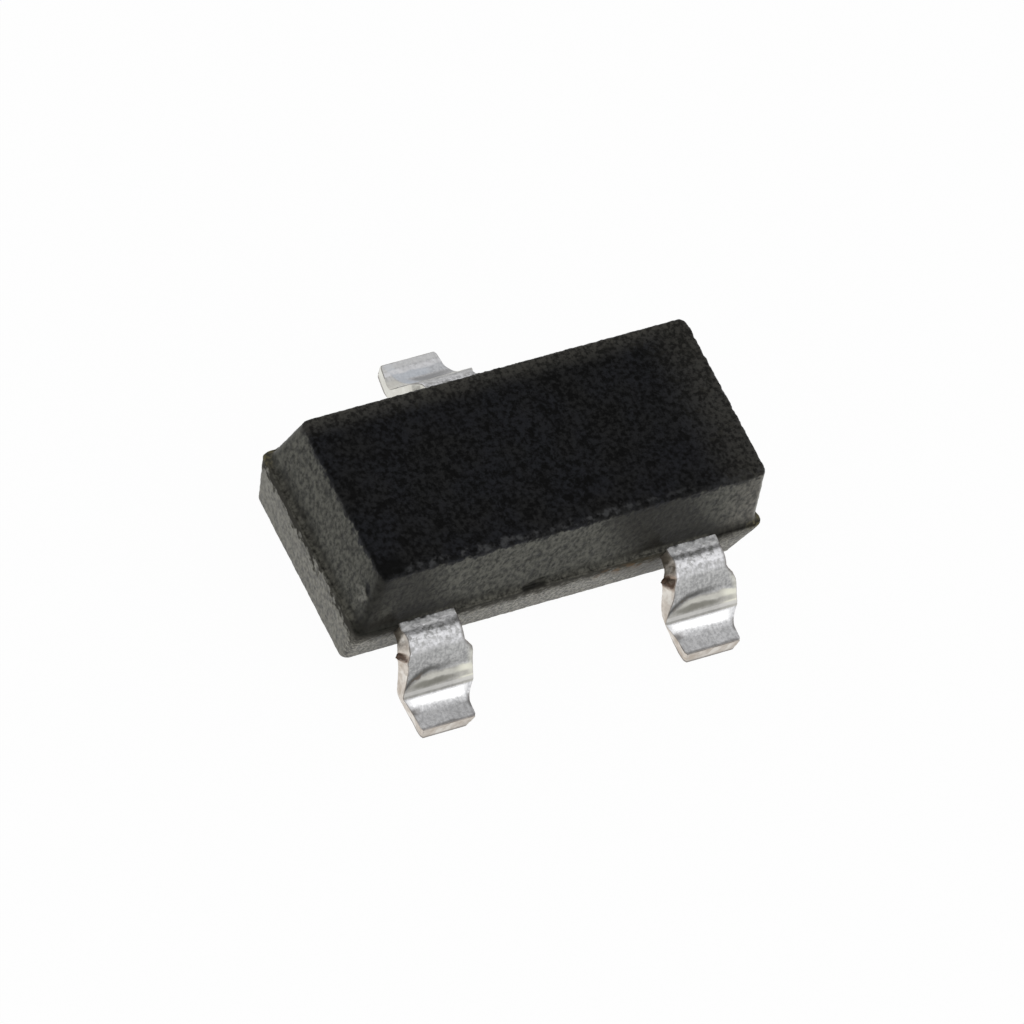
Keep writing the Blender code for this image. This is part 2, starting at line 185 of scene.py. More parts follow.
class Nodes:
    """A short way to write a material's node tree."""

    # Places of the colour sockets on a Mix node
    FIRST_COLOUR = 6
    SECOND_COLOUR = 7
    MIXED_COLOUR = 2

    def __init__(self, name):
        self.material = bpy.data.materials.new(name)
        self.material.use_nodes = True
        self.tree = self.material.node_tree
        self.shader = self.tree.nodes["Principled BSDF"]
        self.output = self.tree.nodes["Material Output"]

    def link(self, source, target):
        self.tree.links.new(source, target)

    def feed(self, socket, value):
        """Set a socket from another socket or from a plain value."""
        if isinstance(value, bpy.types.NodeSocket):
            self.link(value, socket)
        else:
            socket.default_value = value

    def feed_colour(self, socket, colour):
        """Set a colour socket from another socket or from red, green and blue."""
        self.feed(socket, colour if isinstance(colour, bpy.types.NodeSocket) else (*colour, 1.0))

    def coordinates(self, stretch=(1.0, 1.0, 1.0)):
        """Return object coordinates in millimetres, stretched along the axes."""
        source = self.tree.nodes.new("ShaderNodeTexCoord")
        mapping = self.tree.nodes.new("ShaderNodeMapping")
        mapping.inputs["Scale"].default_value = [part / MM for part in stretch]
        self.link(source.outputs["Object"], mapping.inputs["Vector"])
        return mapping.outputs["Vector"]

    def noise(self, vector, scale, detail=2.0, roughness=0.5):
        node = self.tree.nodes.new("ShaderNodeTexNoise")
        self.link(vector, node.inputs["Vector"])
        node.inputs["Scale"].default_value = scale
        node.inputs["Detail"].default_value = detail
        node.inputs["Roughness"].default_value = roughness
        return node.outputs["Fac"]

    def cells(self, vector, scale):
        """Return the distance to the nearest of many scattered points."""
        node = self.tree.nodes.new("ShaderNodeTexVoronoi")
        self.link(vector, node.inputs["Vector"])
        node.inputs["Scale"].default_value = scale
        return node.outputs["Distance"]

    def math(self, operation, first, second=0.0, clamp=False):
        node = self.tree.nodes.new("ShaderNodeMath")
        node.operation = operation
        node.use_clamp = clamp
        self.feed(node.inputs[0], first)
        self.feed(node.inputs[1], second)
        return node.outputs[0]

    def times(self, first, second):
        return self.math("MULTIPLY", first, second)

    def plus(self, first, second):
        return self.math("ADD", first, second)

    def minus(self, first, second):
        return self.math("SUBTRACT", first, second)

    def larger(self, first, second):
        return self.math("MAXIMUM", first, second)

    def ease(self, value, low, high, out_low=0.0, out_high=1.0):
        """Ease a value from one range to another, held at its ends."""
        node = self.tree.nodes.new("ShaderNodeMapRange")
        node.interpolation_type = "SMOOTHSTEP"
        self.feed(node.inputs["Value"], value)
        node.inputs["From Min"].default_value = low
        node.inputs["From Max"].default_value = high
        node.inputs["To Min"].default_value = out_low
        node.inputs["To Max"].default_value = out_high
        return node.outputs["Result"]

    def band(self, value, centre, core, reach):
        """Return 1 within core of the centre, falling to 0 at reach."""
        away = self.math("ABSOLUTE", self.minus(value, centre))
        return self.ease(away, core, reach, 1.0, 0.0)

    def parts(self, vector):
        """Return a vector's three parts."""
        split = self.tree.nodes.new("ShaderNodeSeparateXYZ")
        self.link(vector, split.inputs["Vector"])
        return split.outputs["X"], split.outputs["Y"], split.outputs["Z"]

    def near_line(self, place, start, end, core, reach):
        """Return 1 near a straight line between two points in millimetres, 0 away from it."""
        first, last = Vector(start), Vector(end)
        run = last - first
        offset = self.vector("SUBTRACT", place, tuple(first))
        share = self.math("DIVIDE", self.vector("DOT_PRODUCT", offset, tuple(run)),
                          run.length_squared, clamp=True)
        foot = self.tree.nodes.new("ShaderNodeVectorMath")
        foot.operation = "SCALE"
        foot.inputs[0].default_value = tuple(run)
        self.link(share, foot.inputs["Scale"])
        away = self.vector("DISTANCE", offset, foot.outputs["Vector"])
        return self.ease(away, core, reach, 1.0, 0.0)

    def vector(self, operation, first, second):
        node = self.tree.nodes.new("ShaderNodeVectorMath")
        node.operation = operation
        self.feed(node.inputs[0], first)
        self.feed(node.inputs[1], second)
        return node.outputs["Value" if operation in ("DOT_PRODUCT", "DISTANCE") else "Vector"]

    def mix(self, factor, first, second):
        """Mix two colours."""
        node = self.tree.nodes.new("ShaderNodeMix")
        node.data_type = "RGBA"
        self.feed(node.inputs["Factor"], factor)
        self.feed_colour(node.inputs[self.FIRST_COLOUR], first)
        self.feed_colour(node.inputs[self.SECOND_COLOUR], second)
        return node.outputs[self.MIXED_COLOUR]

    def tinge(self, factor, strength, base, colour):
        """Mix a colour into a base by a factor times a strength."""
        return self.mix(self.times(factor, strength), base, colour)

    def ramp(self, factor, value, *ranges):
        """Multiply a factor by a value that is eased from one range to another."""
        return self.times(factor, self.ease(value, *ranges))

    def attribute(self, name):
        node = self.tree.nodes.new("ShaderNodeAttribute")
        node.attribute_name = name
        return node.outputs["Fac"]

    def bump(self, height, distance, strength=1.0):
        node = self.tree.nodes.new("ShaderNodeBump")
        node.inputs["Strength"].default_value = strength
        node.inputs["Distance"].default_value = distance
        self.link(height, node.inputs["Height"])
        return node.outputs["Normal"]

    def finish(self, colour, roughness, normal=None, metallic=0.0, specular=None):
        """Connect the results to the shader."""
        self.feed_colour(self.shader.inputs["Base Color"], colour)
        self.feed(self.shader.inputs["Roughness"], roughness)
        self.feed(self.shader.inputs["Metallic"], metallic)
        if specular is not None:
            self.shader.inputs["Specular IOR Level"].default_value = specular
        if normal is not None:
            self.link(normal, self.shader.inputs["Normal"])
        return self.material


def mould_compound():
    """Near-black filled epoxy with the fine grain of a spark-eroded mould, with painted sheen on
    its walls and painted light and shade.
    """
    nodes = Nodes("mould_compound_dressed")
    place = nodes.coordinates()
    drawn = nodes.coordinates((1.0, 1.0, 0.72))
    x, y, z = nodes.parts(place)
    grain = nodes.noise(drawn, 38.0, 3.0, 0.55)
    clumps = nodes.noise(drawn, 15.0, 2.0, 0.5)
    mottle = nodes.noise(place, 3.5, 2.0, 0.5)
    crumbs = nodes.minus(nodes.noise(place, 23.0, 2.0, 0.5), 0.5)
    ledge = nodes.attribute("ledge")
    wall_foot = nodes.attribute("wall_foot")
    lower = nodes.attribute("lower")
    upper = nodes.minus(1.0, lower)
    spread = nodes.plus(nodes.times(grain, 0.88), nodes.times(clumps, 0.12))
    spread = nodes.plus(spread, nodes.times(nodes.minus(mottle, 0.5), 0.06))
    ragged = nodes.minus(clumps, 0.5)
    level = nodes.ease(spread, 0.30, 0.70)
    calm = nodes.ease(y, 0.55, 0.62, 0.0, 0.45)
    level = nodes.plus(nodes.times(level, nodes.minus(1.0, calm)), nodes.times(calm, 0.5))
    pits = nodes.ease(clumps, 0.35, 0.41, 0.85, 0.0)

    # Upper walls, lighter than the top by painted sheen, with painted shade above the leads and
    # at the front left corner, and painted light at the right end
    shadow = (0.018, 0.017, 0.014)
    # The walls' lighter tone is painted sheen, the white table's reflection on the near-black
    # compound
    wall_tone = nodes.mix(level, (0.020, 0.020, 0.017), (0.134, 0.133, 0.113))
    # Painted shade on the upper walls: across the middle of the front wall, above the leads where
    # they block the table's reflection, along the wall's foot beside them, at the front left
    # corner and low on the left wall
    painted_wall_shades = ((((-0.60, -0.66, 0.60), (0.30, -0.66, 0.64)), 0.05, 0.16, 0.10),
              (((-1.20, -0.60, 0.96), (-1.06, -0.66, 0.49)), 0.06, 0.34, 0.62),
              (((0.52, -0.60, 0.96), (0.82, -0.66, 0.49)), 0.12, 0.46, 0.76),
              (((-1.16, -0.66, 0.51), (-0.80, -0.66, 0.51)), 0.02, 0.20, 0.60),
              (((0.64, -0.66, 0.51), (1.12, -0.66, 0.51)), 0.02, 0.18, 0.60),
              (((-1.37, -0.60, 0.97), (-1.41, -0.67, 0.49)), 0.03, 0.15, 0.70),
              (((-1.40, -0.67, 0.50), (-1.14, -0.67, 0.50)), 0.02, 0.12, 0.60),
              (((-1.41, 0.42, 0.53), (-1.41, 0.08, 0.53)), 0.03, 0.13, 0.38))
    for (start, end), core, reach, strength in painted_wall_shades:
        shade = nodes.near_line(place, start, end, core, reach)
        wall_tone = nodes.tinge(shade, strength, wall_tone, (0.006, 0.0055, 0.0045))
    # Painted light on the right end of the walls
    painted_light_end = nodes.ease(x, 1.02, 1.36)
    bright_tone = nodes.mix(level, (0.06, 0.058, 0.052), (0.20, 0.19, 0.165))
    wall_tone = nodes.tinge(painted_light_end, 0.7, wall_tone, bright_tone)
    # Painted highlight along the rounded right front corner
    arris_highlight = nodes.near_line(place, (1.372, -0.585, 0.93), (1.405, -0.645, 0.52), 0.010, 0.046)
    wall_tone = nodes.tinge(arris_highlight, 0.75, wall_tone, (0.36, 0.35, 0.315))
    # Painted shade in the recess at the wall's foot, above the ledge, with a ragged edge
    foot_shade = nodes.plus(wall_foot, nodes.times(ragged, 1.2))
    foot_shade = nodes.ease(foot_shade, 0.1, 0.9, 0.0, 0.50)
    wall_tone = nodes.mix(foot_shade, wall_tone, shadow)

    # Lower walls, lighter still by painted reflection of the white table, gritty at the front and
    # darker under the parting line, with painted shade beside the leads' roots and painted light
    # towards the back of the left end
    # The lower walls' light tone is painted reflection of the white table
    lower_tone = nodes.mix(level, (0.080, 0.078, 0.069), (0.300, 0.292, 0.254))
    front = nodes.ease(y, -0.61, -0.58, 1.0, 0.0)
    chipped = nodes.near_line(place, (-1.45, -0.14, 0.48), (-1.45, -0.36, 0.48), 0.03, 0.10)
    rise = nodes.plus(z, nodes.times(crumbs, 0.19))
    rise = nodes.plus(rise, nodes.times(ragged, 0.12))
    rise = nodes.minus(rise, nodes.times(chipped, 0.065))
    end_lip = nodes.ease(rise, 0.385, 0.435)
    front_lip = nodes.ease(rise, 0.30, 0.475)
    lip = nodes.plus(nodes.times(front_lip, front), nodes.times(end_lip, nodes.minus(1.0, front)))
    lip = nodes.ramp(lip, x, 1.10, 1.32, 0.96, 0.40)
    lip = nodes.ramp(lip, y, 0.60, 0.67, 1.0, 0.55)
    # Painted shade beside the root of lead 2
    lead_shade = nodes.near_line(place, (0.44, -0.69, 0.47), (0.68, -0.69, 0.47), 0.02, 0.06)
    lower_tone = nodes.tinge(lead_shade, 0.6, lower_tone, shadow)
    grit = nodes.noise(drawn, 58.0, 2.0, 0.6)
    light_grit = nodes.ramp(front, grit, 0.50, 0.62, 0.0, 0.60)
    dark_grit = nodes.ramp(front, grit, 0.38, 0.48, 0.6, 0.0)
    lower_tone = nodes.mix(light_grit, lower_tone, (0.44, 0.42, 0.365))
    lower_tone = nodes.mix(dark_grit, lower_tone, (0.05, 0.048, 0.042))
    # Painted light, brighter towards the back of the left end
    painted_back_light = nodes.ramp(nodes.ease(x, -1.36, -1.30, 0.05, 0.0), y, -0.20, 0.60)
    lower_tone = nodes.mix(painted_back_light, lower_tone, (0.50, 0.49, 0.44))
    lower_tone = nodes.mix(lip, lower_tone, (0.042, 0.040, 0.034))
    # Painted shade beside the root of lead 1
    root_shade = nodes.near_line(place, (-1.26, -0.68, 0.45), (-1.14, -0.68, 0.44), 0.05, 0.14)
    lower_tone = nodes.tinge(root_shade, 0.6, lower_tone, shadow)
    olive = nodes.near_line(place, (0.55, -0.66, 0.40), (0.76, -0.66, 0.30), 0.05, 0.22)
    lower_tone = nodes.tinge(olive, 0.7, lower_tone, (0.050, 0.044, 0.028))
    rust = nodes.near_line(place, (0.36, -0.66, 0.38), (0.60, -0.66, 0.38), 0.02, 0.12)
    rust = nodes.ramp(rust, clumps, 0.48, 0.60, 0.0, 0.6)
    lower_tone = nodes.mix(rust, lower_tone, (0.16, 0.10, 0.055))
    tone = nodes.mix(lower, wall_tone, lower_tone)

    # Top face with painted light at the far edges, grey dabs near the front, a dull corner and a
    # ragged edge
    tint = nodes.mix(nodes.ease(mottle, 0.35, 0.65), (0.0145, 0.0145, 0.0145),
                     (0.0130, 0.0138, 0.0168))
    top_tone = nodes.mix(nodes.ease(spread, 0.35, 0.65), (0.0, 0.0, 0.0), tint)
    top_tone = nodes.mix(pits, top_tone, (0.0, 0.0, 0.0))
    # Painted light towards the right end and the back edge of the top
    far_rim_light = nodes.larger(nodes.ease(x, 0.90, 1.42, 0.0, 0.72), nodes.ease(y, 0.42, 0.60))
    far_rim_light = nodes.ramp(far_rim_light, spread, 0.38, 0.62, 0.25, 0.95)
    top_tone = nodes.mix(far_rim_light, top_tone, (0.064, 0.061, 0.052))
    dabs = nodes.plus(y, nodes.times(ragged, 0.10))
    dabs = nodes.ramp(nodes.band(dabs, -0.556, 0.006, 0.030), crumbs, -0.06, 0.16)
    dabs = nodes.ramp(dabs, x, 0.2, 0.8, 0.75, 0.3)
    top_tone = nodes.mix(dabs, top_tone, (0.064, 0.065, 0.067))
    dull = nodes.near_line(place, (-1.33, -0.53, 0.97), (-1.25, -0.51, 0.97), 0.02, 0.10)
    top_tone = nodes.tinge(dull, 0.9, top_tone, (0.0, 0.0, 0.0))
    crown = nodes.plus(z, nodes.times(crumbs, 0.17))
    crown = nodes.minus(crown, nodes.ease(y, -0.60, -0.57, 0.010, -0.006))
    crown = nodes.ease(crown, 0.912, 0.948)
    crown = nodes.larger(crown, nodes.ease(z, 0.955, 0.966))
    tone = nodes.mix(crown, tone, top_tone)

    # Ledge of the parting line, with painted shade at its front left and right ends and in a
    # notch, and two yellowish corner marks
    ledge_tone = nodes.mix(level, (0.026, 0.025, 0.021), (0.125, 0.121, 0.101))
    # Painted shade at the front left end of the ledge
    front_end_shade = nodes.near_line(place, (-1.43, -0.69, 0.49), (-1.16, -0.69, 0.49), 0.06, 0.14)
    ledge_tone = nodes.tinge(front_end_shade, 0.80, ledge_tone, (0.008, 0.008, 0.006))
    # Painted shade at the right end of the front ledge
    right_end_shade = nodes.near_line(place, (1.12, -0.68, 0.49), (1.36, -0.68, 0.49), 0.04, 0.10)
    ledge_tone = nodes.tinge(right_end_shade, 0.75, ledge_tone, (0.010, 0.009, 0.007))
    tone = nodes.tinge(ledge, upper, tone, ledge_tone)
    # Painted shade in the notch of the ledge
    notch_shade = nodes.near_line(place, *NOTCH, 0.010, 0.050)
    tone = nodes.tinge(notch_shade, 0.92, tone, (0.004, 0.004, 0.003))
    # Yellowish marks at two corners of the ledge: a painted highlight where the back left corner
    # catches light, and a stain at the front right
    for start, end in (((-1.46, 0.62, 0.485), (-1.36, 0.69, 0.49)),
                       ((1.40, -0.66, 0.485), (1.45, -0.63, 0.49))):
        stain_and_glint = nodes.near_line(place, start, end, 0.02, 0.08)
        stain_and_glint = nodes.ramp(stain_and_glint, grain, 0.44, 0.58, 0.15, 1.0)
        stain_and_glint = nodes.times(stain_and_glint, nodes.times(ledge, 0.7))
        tone = nodes.mix(stain_and_glint, tone, (0.17, 0.15, 0.08))

    # Scuff on the left wall, a bright crooked burr under a small hole that is only a painted spot
    # of shade
    scuff = nodes.times(nodes.near_line(place, *SCUFF[0], 0.005, 0.022), 0.5)
    scuff = nodes.larger(scuff, nodes.near_line(place, *SCUFF[1], 0.006, 0.024))
    scuff = nodes.larger(scuff, nodes.near_line(place, *SCUFF[2], 0.007, 0.026))
    scuff = nodes.ramp(scuff, grain, 0.35, 0.55, 0.25, 0.85)
    tone = nodes.mix(scuff, tone, (0.22, 0.215, 0.19))
    # Painted shade standing for a small hole
    hole_shade = nodes.near_line(place, (-1.386, -0.515, 0.79), (-1.387, -0.535, 0.762), 0.012, 0.034)
    tone = nodes.mix(hole_shade, tone, (0.001, 0.001, 0.001))

    height = nodes.plus(grain, nodes.times(clumps, 0.5))
    normal = nodes.bump(height, 4.5 * UM)
    roughness = nodes.ease(grain, 0.3, 0.7, 0.34, 0.50)
    dull_lip = nodes.times(nodes.times(lip, lower), 0.6)
    roughness = nodes.math("ADD", roughness, dull_lip, clamp=True)
    return nodes.finish(tone, roughness, normal, specular=0.09)


def tin_plate():
    """Matte tin over rolled strip, with the marks of bending and bare metal at the cuts, and
    painted highlights, reflections and shade.
    """
    nodes = Nodes("tin_plate_dressed")
    place = nodes.coordinates()
    side = nodes.attribute("side")
    stub = nodes.attribute("dambar")
    along = nodes.attribute("along")
    across = nodes.attribute("across")
    grain = nodes.noise(place, 30.0, 2.0, 0.55)
    clumps = nodes.noise(place, 12.0, 2.0, 0.5)
    specks = nodes.noise(place, 58.0, 2.0, 0.6)
    lines = nodes.noise(nodes.coordinates((1.0, 0.14, 0.20)), 62.0, 2.0, 0.6)
    drift = nodes.times(nodes.minus(clumps, 0.5), 0.03)
    station = nodes.plus(along, drift)
    leftward = nodes.larger(nodes.times(across, -1.0), 0.0)
    leftward = nodes.math("POWER", leftward, 3.0)
    spread = nodes.plus(leftward, nodes.times(nodes.math("POWER", nodes.math("ABSOLUTE", across),
                                                         6.0), 0.35))
    arch = nodes.plus(station, nodes.times(drift, 0.6))
    arch = nodes.minus(arch, nodes.times(spread, 0.075))
    frosted = nodes.plus(station, nodes.times(drift, 2.0))
    frosted = nodes.minus(frosted, nodes.times(leftward, 0.04))
    frosted = nodes.ease(frosted, 0.052, 0.112, 1.0, 0.0)

    # Matte plate, frosted by the stretch over the upper bend
    shade = nodes.plus(nodes.times(lines, 0.35), nodes.times(specks, 0.65))
    plate = nodes.mix(nodes.ease(shade, 0.38, 0.62), (0.60, 0.60, 0.61), (0.82, 0.82, 0.83))
    bend = nodes.ease(along, 0.074, 0.104)
    stretched = nodes.mix(nodes.ease(shade, 0.38, 0.62), (0.34, 0.34, 0.34), (0.52, 0.52, 0.515))
    past_bend = nodes.ease(arch, 0.20, 0.25, 1.0, 0.0)
    plate = nodes.tinge(bend, past_bend, plate, stretched)
    dimmed = nodes.ramp(frosted, along, 0.02, 0.07, 0.0, 0.6)
    plate = nodes.mix(dimmed, plate, (0.54, 0.54, 0.55))
    flecks = nodes.ramp(frosted, grain, 0.50, 0.66)
    pits = nodes.ramp(frosted, grain, 0.38, 0.50, 0.75, 0.0)
    plate = nodes.mix(flecks, plate, (0.90, 0.90, 0.92))
    plate = nodes.mix(pits, plate, (0.36, 0.36, 0.355))
    # Painted highlight where the upper bend starts
    caught_highlight = nodes.ramp(nodes.band(along, 0.031, 0.012, 0.026), grain, 0.36, 0.56, 0.2, 0.85)
    plate = nodes.mix(caught_highlight, plate, (0.98, 0.98, 1.0))
    shoulder = nodes.ease(along, -0.026, -0.008, 0.9, 0.0)
    shoulder_tone = nodes.mix(nodes.ease(grain, 0.38, 0.62), (0.86, 0.86, 0.87), (1.0, 1.0, 1.0))
    plate = nodes.mix(shoulder, plate, shoulder_tone)

    # Coined dent in the flank between the two bends, its shading painted in: a beige tone for its
    # reflection, painted shade in the hollow and painted highlights at its rims and ridge
    bowl = nodes.ramp(nodes.ease(arch, 0.224, 0.248), along, 0.385, 0.400, 1.0, 0.0)
    beige = nodes.mix(nodes.ease(shade, 0.36, 0.64), (0.40, 0.39, 0.37), (0.48, 0.47, 0.44))
    # Painted light along the dent's upper rim
    rim_light = nodes.band(arch, 0.266, 0.006, 0.030)
    rim_light = nodes.ramp(rim_light, across, -0.95, -0.2)
    beige = nodes.tinge(rim_light, 0.8, beige, (0.62, 0.61, 0.56))
    # Painted shade in the dent's hollow
    off_x = nodes.math("DIVIDE", nodes.plus(across, 0.16), 0.84)
    off_y = nodes.math("DIVIDE", nodes.minus(station, 0.308), 0.034)
    away = nodes.plus(nodes.times(off_x, off_x), nodes.times(off_y, off_y))
    hollow_shade = nodes.ease(away, 0.1, 1.0, 0.9, 0.0)
    beige = nodes.mix(hollow_shade, beige, (0.25, 0.245, 0.215))
    # Painted highlights along the dent's upper and lower rims
    shine_highlight = nodes.larger(nodes.band(along, 0.262, 0.014, 0.045),
                         nodes.band(along, 0.346, 0.007, 0.028))
    shine_highlight = nodes.ramp(nodes.larger(shine_highlight, 0.25), across, 0.40, 0.80)
    beige = nodes.mix(shine_highlight, beige, (0.82, 0.81, 0.71))
    # Painted highlight along the ridge before the heel
    ridge_highlight = nodes.band(along, 0.356, 0.009, 0.020)
    beige = nodes.tinge(ridge_highlight, 0.8, beige, (0.66, 0.65, 0.63))
    plate = nodes.mix(bowl, plate, beige)
    # Painted highlight along the right rim of the bend
    right_rim_highlight = nodes.ramp(nodes.band(along, 0.235, 0.070, 0.125), across, 0.78, 0.97, 0.0, 0.55)
    plate = nodes.mix(right_rim_highlight, plate, (0.78, 0.77, 0.68))

    # Lines that the forming tool left, with painted shade in the crease and a painted shadow line
    # along the groove
    # Painted shade in the crease
    crease = nodes.band(station, -0.004, 0.005, 0.016)
    plate = nodes.tinge(crease, 0.30, plate, (0.16, 0.155, 0.15))
    # Painted shadow line along the groove
    groove_shadow = nodes.ramp(nodes.ease(arch, 0.164, 0.214), arch, 0.221, 0.255, 1.0, 0.0)
    groove_shadow = nodes.ramp(groove_shadow, across, -0.4, 0.8, 0.90, 0.16)
    plate = nodes.mix(groove_shadow, plate, (0.09, 0.09, 0.085))
    rubbed = nodes.times(nodes.band(arch, 0.228, 0.008, 0.026),
                         nodes.band(across, -0.70, 0.08, 0.26))
    rubbed = nodes.ramp(rubbed, grain, 0.42, 0.56, 0.1, 0.75)
    plate = nodes.mix(rubbed, plate, (0.15, 0.12, 0.095))
    heel_line = nodes.band(along, 0.377, 0.003, 0.010)
    plate = nodes.tinge(heel_line, 0.2, plate, (0.30, 0.30, 0.30))

    # Polished heel of leads 1 and 2, wider on the right, with the white band of the table's
    # reflection painted into its colour
    far_side = nodes.ease(nodes.parts(place)[1], 0.0, 0.1)
    near_side = nodes.minus(1.0, far_side)
    slanted = nodes.minus(along, nodes.times(across, 0.016))
    polish_and_reflection = nodes.ramp(nodes.ease(along, 0.390, 0.414), slanted, 0.455, 0.515, 1.0, 0.0)
    polish_and_reflection = nodes.times(polish_and_reflection, nodes.band(across, -0.03, 0.70, 0.98))
    polish_and_reflection = nodes.times(polish_and_reflection, near_side)
    # Painted reflection: the heel's white band
    plate = nodes.mix(polish_and_reflection, plate, (0.98, 0.98, 0.98))

    # Painted shadow along the edges of the strip and at the tip
    # Painted shadow below the tip's upper edge
    tip = nodes.band(station, 0.673, 0.006, 0.022)
    edge_shadow = nodes.ramp(nodes.band(along, 0.530, 0.012, 0.050), across, -0.98, -0.58, 0.8,
                             0.0)
    edge_shadow = nodes.larger(edge_shadow, nodes.times(tip, 0.62))
    # Painted shadow along the right edge at the neck and below the heel
    right_edge_shadow = nodes.larger(nodes.band(along, 0.060, 0.070, 0.110),
                              nodes.band(along, 0.550, 0.040, 0.070))
    right_edge_shadow = nodes.ramp(right_edge_shadow, across, 0.86, 0.97, 0.0, 0.7)
    edge_shadow = nodes.larger(edge_shadow, right_edge_shadow)
    edge_shadow = nodes.times(edge_shadow, near_side)
    plate = nodes.mix(edge_shadow, plate, (0.20, 0.185, 0.175))

    # Foot of lead 3: lighter left side, grey heel, a pale blue painted reflection in the middle
    # and a bright stripe of painted highlight
    foot = nodes.times(nodes.ease(along, 0.362, 0.386), far_side)
    slant = nodes.plus(across, nodes.times(station, 2.0))
    # Lighter on the left side of the foot
    worn = nodes.ramp(foot, slant, 0.33, 0.45, 0.8, 0.0)
    worn = nodes.ramp(worn, station, 0.50, 0.58, 1.0, 0.3)
    plate = nodes.mix(worn, plate, (0.93, 0.91, 0.84))
    grey_heel = nodes.ramp(nodes.ease(slant, 0.45, 0.85), station, 0.480, 0.525, 0.9, 0.0)
    plate = nodes.tinge(foot, grey_heel, plate, (0.43, 0.43, 0.435))
    # Painted reflection, pale blue, across the middle of the foot
    pale_reflection = nodes.larger(nodes.band(slant, 0.52, 0.06, 0.22),
                        nodes.band(station, 0.556, 0.024, 0.050))
    pale_reflection = nodes.ramp(pale_reflection, across, 0.20, 0.60, 0.6, 0.2)
    pale_reflection = nodes.ramp(pale_reflection, slant, 0.36, 0.46)
    plate = nodes.tinge(foot, pale_reflection, plate, (0.78, 0.83, 0.90))
    # Painted highlight, a bright stripe near the tip
    stripe_highlight = nodes.ramp(nodes.band(station, 0.606, 0.009, 0.024), grain, 0.38, 0.56, 0.45, 1.0)
    plate = nodes.tinge(foot, stripe_highlight, plate, (0.98, 0.98, 1.0))
    far_tip = nodes.times(nodes.ease(station, 0.620, 0.640, 0.0, 0.6), far_side)
    plate = nodes.mix(far_tip, plate, (0.92, 0.92, 0.92))

    # Moulding compound that crept over the strip beside the wall
    creep = nodes.plus(along, nodes.times(across, 0.006))
    creep = nodes.plus(creep, nodes.times(drift, 1.4))
    creep = nodes.plus(creep, nodes.times(nodes.minus(grain, 0.5), 0.035))
    creep = nodes.ease(creep, -0.088, -0.070, 0.92, 0.0)
    plate = nodes.mix(creep, plate, (0.022, 0.020, 0.017))

    # Sheared sides with flash beside the moulding, painted light on lead 3's sides, painted shade
    # on the tip faces, low edges and rounded edges, and stained dambar stubs
    sheared = nodes.mix(nodes.ease(grain, 0.34, 0.66), (0.60, 0.545, 0.485), (0.76, 0.705, 0.645))
    sheared = nodes.mix(nodes.ease(clumps, 0.54, 0.66, 0.0, 0.7), sheared, (0.93, 0.90, 0.85))
    sheared = nodes.mix(nodes.ease(clumps, 0.34, 0.44, 0.5, 0.0), sheared, (0.46, 0.38, 0.30))
    # Painted light on the sides of lead 3
    sheared = nodes.tinge(far_side, 0.7, sheared, (0.80, 0.81, 0.76))
    # Mould flash beside the moulding, darkened further by painted shade
    flash = nodes.ease(nodes.plus(station, drift), -0.015, 0.015, 0.9, 0.0)
    sheared = nodes.mix(flash, sheared, (0.15, 0.13, 0.10))
    # Painted shade on the end faces of the tips
    tip_face_shade = nodes.ease(along, 0.669, 0.675, 0.0, 0.28)
    sheared = nodes.mix(tip_face_shade, sheared, (0.36, 0.34, 0.31))
    # Painted shade along the lowest edge, next to the table
    low_edge_shade = nodes.ease(nodes.parts(place)[2], 0.010, 0.036, 0.85, 0.0)
    sheared = nodes.mix(low_edge_shade, sheared, (0.20, 0.18, 0.165))
    stained = nodes.mix(nodes.ease(grain, 0.42, 0.6), (0.030, 0.018, 0.012), (0.13, 0.08, 0.055))
    tone = nodes.mix(side, plate, sheared)
    # Rounded edges between the faces, darkened by painted shade
    edge = nodes.ramp(nodes.band(side, 0.45, 0.1, 0.45), clumps, 0.35, 0.6, 0.2, 0.7)
    tone = nodes.mix(edge, tone, (0.13, 0.105, 0.085))
    bare = nodes.plus(stub, nodes.times(nodes.minus(grain, 0.5), 1.2))
    bare = nodes.ease(bare, 0.40, 0.85)
    bare = nodes.ramp(bare, stub, 0.0, 0.2)
    tone = nodes.mix(nodes.ease(stub, 0.05, 0.6, 0.0, 0.75), tone, (0.34, 0.25, 0.19))
    tone = nodes.mix(bare, tone, stained)

    height = nodes.plus(nodes.times(shade, 0.6), nodes.times(grain, nodes.plus(frosted, 0.15)))
    smooth_share = nodes.minus(1.0, nodes.times(polish_and_reflection, 0.9))
    normal = nodes.bump(nodes.times(height, smooth_share), 4.0 * UM)
    roughness = nodes.ease(grain, 0.3, 0.7, 0.46, 0.58)
    roughness = nodes.minus(roughness, nodes.times(polish_and_reflection, 0.33))
    metallic = nodes.minus(1.0, nodes.times(bare, 0.6))
    return nodes.finish(tone, roughness, normal, metallic=metallic)


def polished_silicon():
    """Polished silicon with faint saw lines on its sides."""
    nodes = Nodes("silicon_dressed")
    lines = nodes.noise(nodes.coordinates((1.0, 1.0, 12.0)), 14.0, 2.0)
    tone = nodes.mix(nodes.ease(lines, 0.4, 0.6), (0.13, 0.14, 0.17), (0.19, 0.20, 0.24))
    normal = nodes.bump(lines, 1.0 * UM, 0.5)
    return nodes.finish(tone, nodes.ease(lines, 0.3, 0.7, 0.15, 0.3), normal, metallic=0.6)


